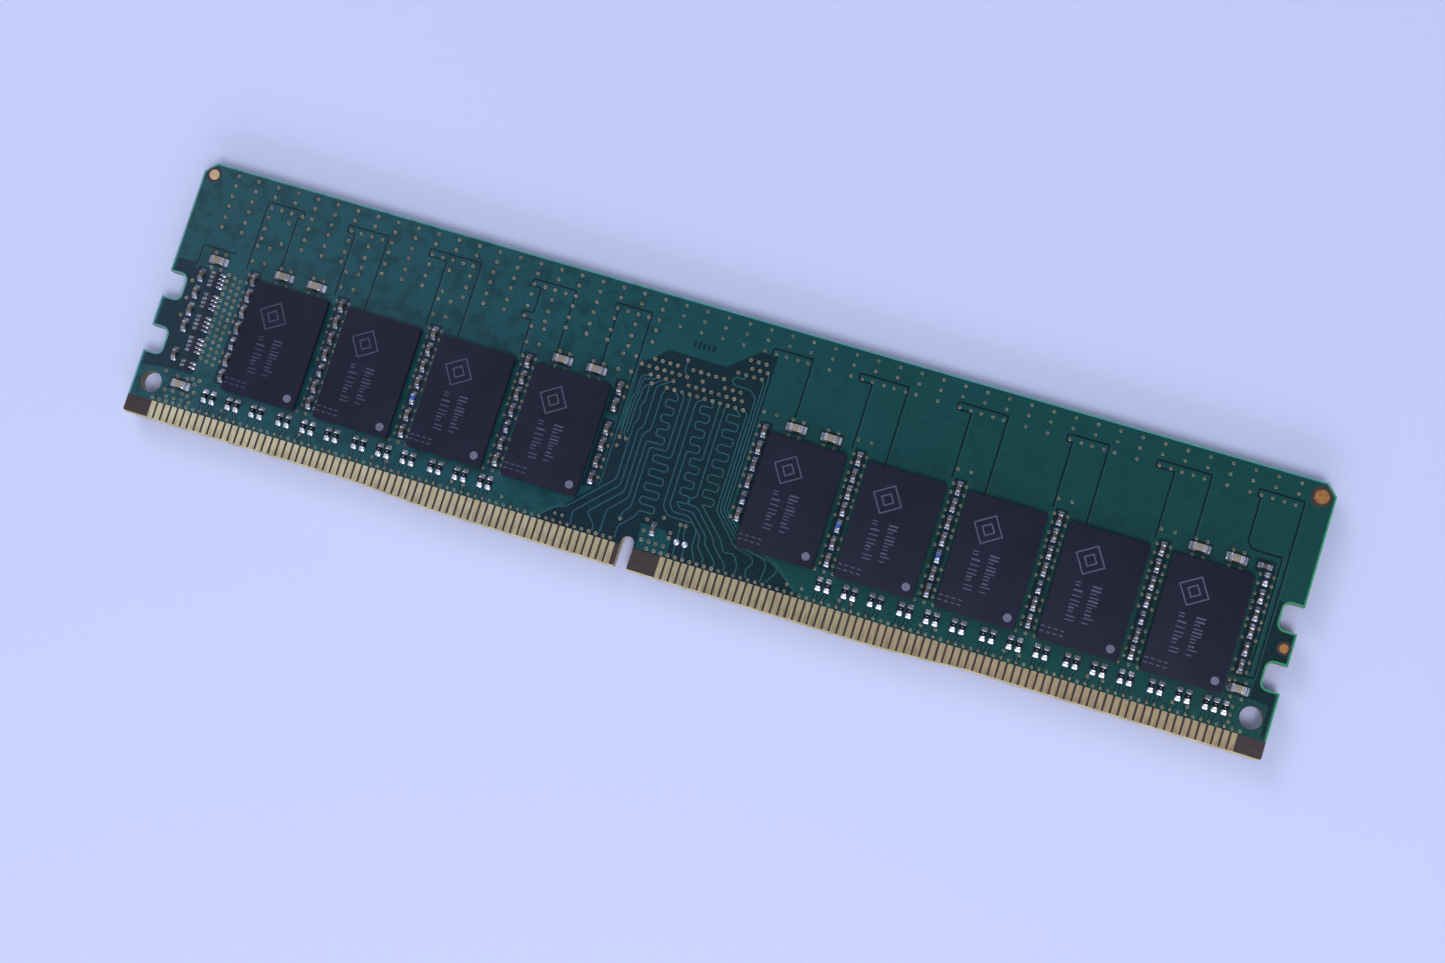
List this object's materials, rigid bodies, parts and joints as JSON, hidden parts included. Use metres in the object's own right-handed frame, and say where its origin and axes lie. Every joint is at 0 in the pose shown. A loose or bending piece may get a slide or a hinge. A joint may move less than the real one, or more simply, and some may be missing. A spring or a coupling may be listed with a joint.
{
  "type": "memory module",
  "caption": "Flat memory board with gold edge contacts, a key slot, latch notches in both ends and rows of flat packages on both faces.",
  "frame": {"origin": "middle of the board's length and height, at the level of the front packages' faces", "axes": "+X along the board's length, +Y from the contact edge to the plain edge, +Z out of the back face"},
  "size_m": [0.1334, 0.0312, 0.0036],
  "materials": {
    "laminate": "glass fibre board, bare at the edges",
    "inner_copper": "plain copper foil",
    "solder_mask": "semi-gloss green lacquer",
    "gold_contacts": "polished gold plating",
    "gold_marks": "flat gold plating",
    "mould": "fine matt moulding",
    "substrate": "resin board, sawn edge",
    "silicon": "polished silicon",
    "solder": "bright solder",
    "capacitor_ceramic": "fine fired ceramic",
    "tinned_ends": "bright tin plating",
    "resistor_body": "glassy black coat",
    "calibration_body": "glassy blue coat",
    "array_body": "glassy dark coat"
  },
  "bodies": {
    "root": {"board_core": "laminate", "ground_plane": "inner_copper", "power_plane": "inner_copper", "prepreg_back": "laminate", "prepreg_front": "laminate", "solder_mask_back": "solder_mask", "solder_mask_front": "solder_mask", "alignment_marks_back": "gold_marks", "alignment_marks_front": "gold_marks", "test_pads": "solder", "edge_contacts_back_left": "gold_contacts", "edge_contacts_back_right": "gold_contacts", "edge_contacts_front_left": "gold_contacts", "edge_contacts_front_right": "gold_contacts", "memory_back_1": "mould", "memory_back_2": "mould", "memory_back_3": "mould", "memory_back_4": "mould", "memory_back_5": "mould", "memory_back_6": "mould", "memory_back_7": "mould", "memory_back_8": "mould", "memory_back_9": "mould", "memory_front_1": "mould", "memory_front_2": "mould", "memory_front_3": "mould", "memory_front_4": "mould", "memory_front_5": "mould", "memory_front_6": "mould", "memory_front_7": "mould", "memory_front_8": "mould", "memory_front_9": "mould", "package_substrates_back": "substrate", "silicon_dies_back": "silicon", "solder_balls_back": "solder", "large_capacitors_back": "capacitor_ceramic", "large_capacitor_ends_back": "tinned_ends", "small_capacitors_back": "capacitor_ceramic", "small_capacitor_ends_back": "tinned_ends", "series_resistors_back": "resistor_body", "calibration_resistors_back": "calibration_body", "resistor_ends_back": "tinned_ends", "package_substrates_front": "substrate", "silicon_dies_front": "silicon", "solder_balls_front": "solder", "large_capacitors_front": "capacitor_ceramic", "large_capacitor_ends_front": "tinned_ends", "small_capacitors_front": "capacitor_ceramic", "small_capacitor_ends_front": "tinned_ends", "series_resistors_front": "resistor_body", "calibration_resistors_front": "calibration_body", "resistor_ends_front": "tinned_ends", "resistor_arrays": "array_body", "resistor_array_ends": "tinned_ends", "sensor_chip": "mould", "sensor_chip_pads": "tinned_ends"}
  },
  "joints": []
}
